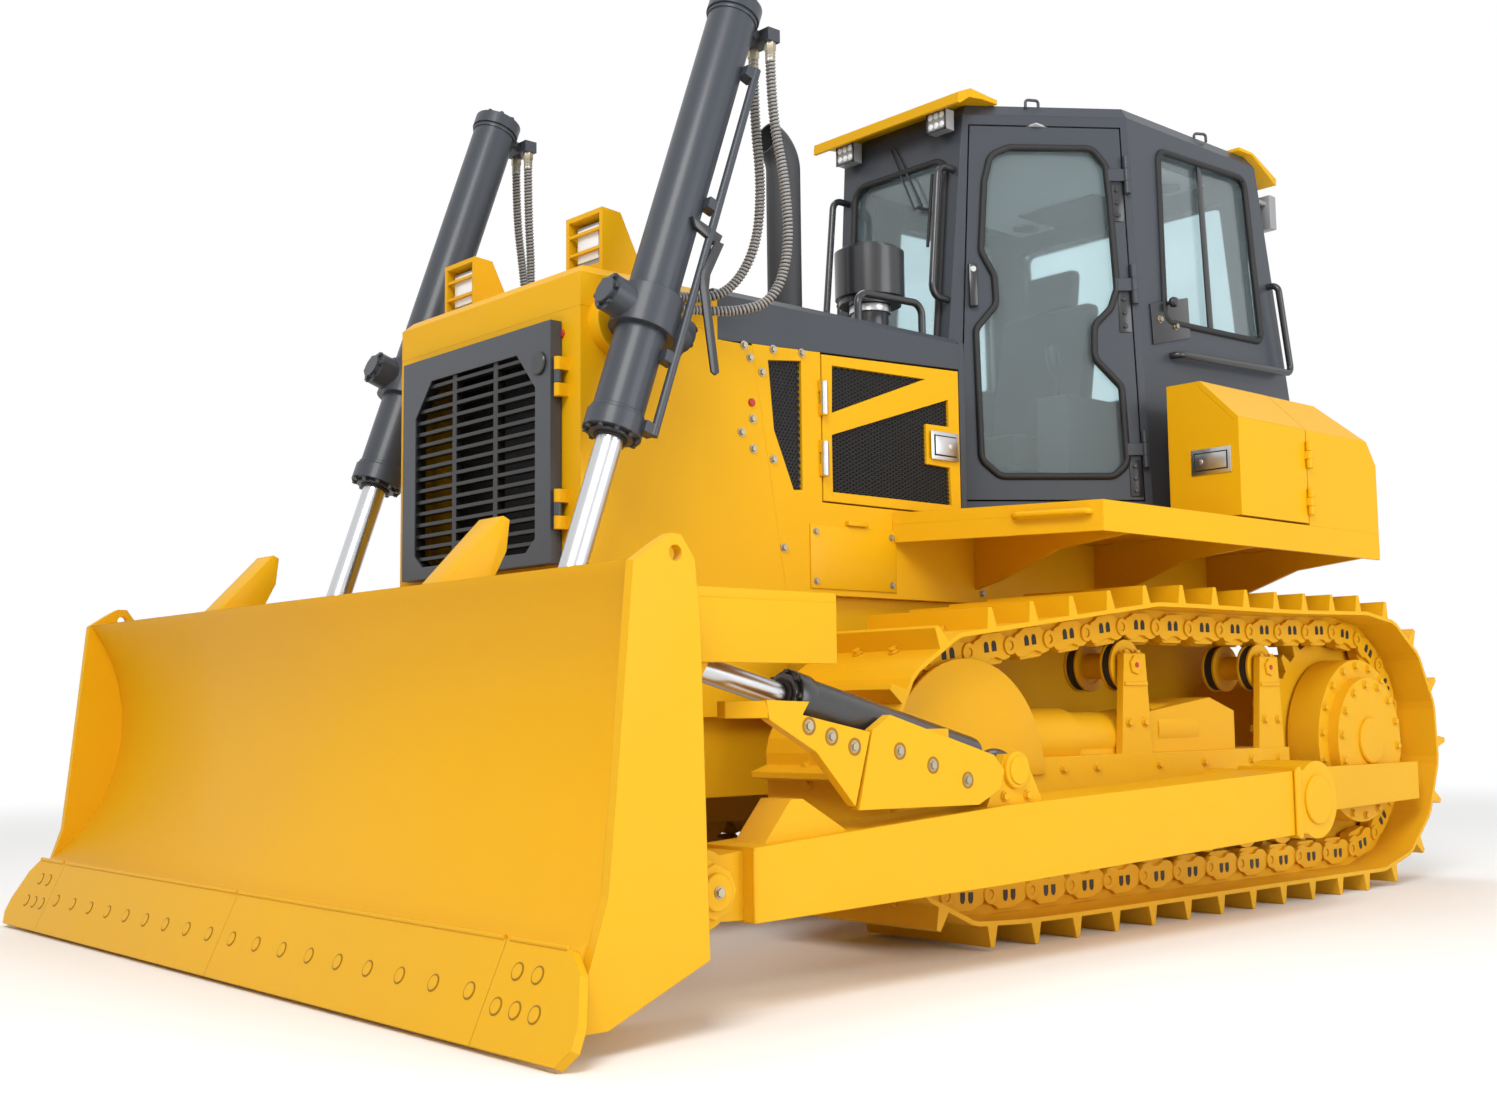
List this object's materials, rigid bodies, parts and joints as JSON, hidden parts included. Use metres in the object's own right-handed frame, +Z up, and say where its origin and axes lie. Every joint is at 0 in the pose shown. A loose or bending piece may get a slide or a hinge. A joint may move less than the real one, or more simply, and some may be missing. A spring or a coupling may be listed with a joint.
{
  "type": "crawler bulldozer",
  "caption": "Crawler bulldozer with a straight tilting blade on push arms, twin lift cylinders, an enclosed cab, grousered tracks and hinged service doors.",
  "frame": {"origin": "on the ground under the middle of the machine's overall length and width", "axes": "+Z up, -Y the way the blade faces, +X the machine's left side with the tilt cylinder"},
  "size_m": [3.388, 5.09, 3.126],
  "materials": {
    "bare_steel": "satin",
    "dark_paint": "satin",
    "glass": "clear",
    "hose_rubber": "matte",
    "lamp_lens": "clear",
    "seat_fabric": "matte",
    "yellow_paint": "gloss"
  },
  "bodies": {
    "tractor": {"air_precleaner": "dark_paint", "cab_frame": "dark_paint", "cab_glass": "glass", "cab_roof": "dark_paint", "cab_visors": "yellow_paint", "consoles": "dark_paint", "drawbar": "dark_paint", "engine": "dark_paint", "exhaust_stack": "dark_paint", "final_drives": "yellow_paint", "firewall": "dark_paint", "fuel_tank": "yellow_paint", "grab_rails": "dark_paint", "headlamps": "yellow_paint", "hood_cap": "yellow_paint", "hood_top": "dark_paint", "lamps": "lamp_lens", "lift_hose_a_left": "hose_rubber", "lift_hose_a_right": "hose_rubber", "lift_hose_b_left": "hose_rubber", "lift_hose_b_right": "hose_rubber", "main_frame": "dark_paint", "operator_seat": "seat_fabric", "platform": "yellow_paint", "radiator_core": "dark_paint", "radiator_guard": "yellow_paint", "rollers_idlers": "yellow_paint", "side_panels": "yellow_paint", "side_tanks": "yellow_paint", "sprockets": "yellow_paint", "track_frame_left": "yellow_paint", "track_frame_right": "yellow_paint", "track_left": "yellow_paint", "track_right": "yellow_paint"},
    "right_arm": {"push_arm_right": "yellow_paint"},
    "left_arm": {"push_arm_left": "yellow_paint"},
    "blade": {"moldboard": "yellow_paint", "blade_pins": "bare_steel", "blade_fins": "yellow_paint", "end_plates": "yellow_paint", "cutting_edges": "yellow_paint"},
    "tilt_barrel": {"tilt_barrel": "dark_paint", "tilt_guards": "yellow_paint"},
    "tilt_rod": {"tilt_rod": "bare_steel"},
    "right_brace": {"right_brace": "dark_paint"},
    "lift_barrel_left": {"lift_barrel_left": "dark_paint", "lift_yoke_left": "dark_paint"},
    "lift_barrel_right": {"lift_barrel_right": "dark_paint", "lift_yoke_right": "dark_paint"},
    "lift_rod_left": {"lift_rod_left": "bare_steel"},
    "lift_rod_right": {"lift_rod_right": "bare_steel"},
    "cab_door_left": {"cab_door_left": "dark_paint", "door_glass_left": "glass"},
    "cab_door_right": {"cab_door_right": "dark_paint", "door_glass_right": "glass"},
    "engine_door_left": {"engine_door_left": "yellow_paint"},
    "engine_door_right": {"engine_door_right": "yellow_paint"},
    "grille_door": {"grille_door": "dark_paint"},
    "box_door_left": {"box_door_left": "yellow_paint"},
    "box_door_right": {"box_door_right": "yellow_paint"}
  },
  "joints": [
    {"name": "blade_lift", "type": "hinge", "parent": "tractor", "child": "right_arm", "pos_m": [-1.38, 0.76, 0.395], "axis": [-1, 0, 0], "range_deg": [-9.5, 19]},
    {"name": "blade_tilt", "type": "hinge", "parent": "right_arm", "child": "blade", "pos_m": [-1.38, -1.969, 0.3], "axis": [0, -0.9994, -0.0348], "range_deg": [-3.5, 3.5]},
    {"name": "left_arm_pitch", "type": "hinge", "parent": "right_arm", "child": "left_arm", "pos_m": [1.38, 0.76, 0.395], "axis": [-1, 0, 0], "range_deg": [-3.59, 3.59]},
    {"name": "tilt_cylinder_swing", "type": "hinge", "parent": "left_arm", "child": "tilt_barrel", "pos_m": [1.38, -0.83, 0.545], "axis": [0, 0, 1], "range_deg": [-1.66, 1.66]},
    {"name": "tilt_rod_slide", "type": "slide", "parent": "tilt_barrel", "child": "tilt_rod", "axis": [0, -0.9692, 0.2464], "range_m": [-0.03298, 0.03298]},
    {"name": "right_brace_swing", "type": "hinge", "parent": "right_arm", "child": "right_brace", "pos_m": [-1.38, -0.83, 0.545], "axis": [0, 0, 1], "range_deg": [-1.67, 1.67]},
    {"name": "lift_barrel_left_swing", "type": "hinge", "parent": "tractor", "child": "lift_barrel_left", "pos_m": [0.68, -1.527, 1.886], "axis": [-1, 0, 0], "range_deg": [-5.86, 11.66], "deforming": ["lift_hose_a_left", "lift_hose_b_left"]},
    {"name": "lift_rod_left_slide", "type": "slide", "parent": "lift_barrel_left", "child": "lift_rod_left", "axis": [0, -0.3303, -0.9439], "range_m": [-0.8903, 0.44565]},
    {"name": "lift_barrel_right_swing", "type": "hinge", "parent": "tractor", "child": "lift_barrel_right", "pos_m": [-0.68, -1.527, 1.886], "axis": [-1, 0, 0], "range_deg": [-5.86, 11.66], "deforming": ["lift_hose_a_right", "lift_hose_b_right"]},
    {"name": "lift_rod_right_slide", "type": "slide", "parent": "lift_barrel_right", "child": "lift_rod_right", "axis": [0, -0.3303, -0.9439], "range_m": [-0.8903, 0.44565]},
    {"name": "cab_door_left_hinge", "type": "hinge", "parent": "tractor", "child": "cab_door_left", "pos_m": [0.77888, 0.85441, 1.51239], "axis": [-0.0389, 0.0004, 0.9992], "range_deg": [0, 95]},
    {"name": "engine_door_left_hinge", "type": "hinge", "parent": "tractor", "child": "engine_door_left", "pos_m": [0.532, -0.649, 1.4], "axis": [0, 0, -1], "range_deg": [0, 100]},
    {"name": "box_door_left_hinge", "type": "hinge", "parent": "tractor", "child": "box_door_left", "pos_m": [1.222, 1.273, 1.4], "axis": [0, 0, 1], "range_deg": [0, 100]},
    {"name": "cab_door_right_hinge", "type": "hinge", "parent": "tractor", "child": "cab_door_right", "pos_m": [-0.77888, 0.85441, 1.51239], "axis": [-0.0389, -0.0004, -0.9992], "range_deg": [0, 95]},
    {"name": "engine_door_right_hinge", "type": "hinge", "parent": "tractor", "child": "engine_door_right", "pos_m": [-0.532, -0.649, 1.4], "axis": [0, 0, 1], "range_deg": [0, 100]},
    {"name": "box_door_right_hinge", "type": "hinge", "parent": "tractor", "child": "box_door_right", "pos_m": [-1.222, 1.273, 1.4], "axis": [0, 0, -1], "range_deg": [0, 100]},
    {"name": "grille_door_hinge", "type": "hinge", "parent": "tractor", "child": "grille_door", "pos_m": [0.448, -1.68, 1.4], "axis": [0, 0, -1], "range_deg": [-90, 0]}
  ],
  "couplings": [
    {"joint": "left_arm_pitch", "follows": "blade_tilt", "ratio": 1.0108},
    {"joint": "tilt_cylinder_swing", "follows": "blade_tilt", "ratio": -0.45876},
    {"joint": "tilt_rod_slide", "follows": "blade_tilt", "m_per_rad": 0.52344},
    {"joint": "right_brace_swing", "follows": "blade_tilt", "ratio": -0.4624},
    {"joint": "lift_barrel_left_swing", "follows": "blade_lift", "ratio": 0.61118},
    {"joint": "lift_rod_left_slide", "follows": "blade_lift", "m_per_rad": -2.6818},
    {"joint": "lift_barrel_right_swing", "follows": "blade_lift", "ratio": 0.61118},
    {"joint": "lift_rod_right_slide", "follows": "blade_lift", "m_per_rad": -2.6818}
  ]
}
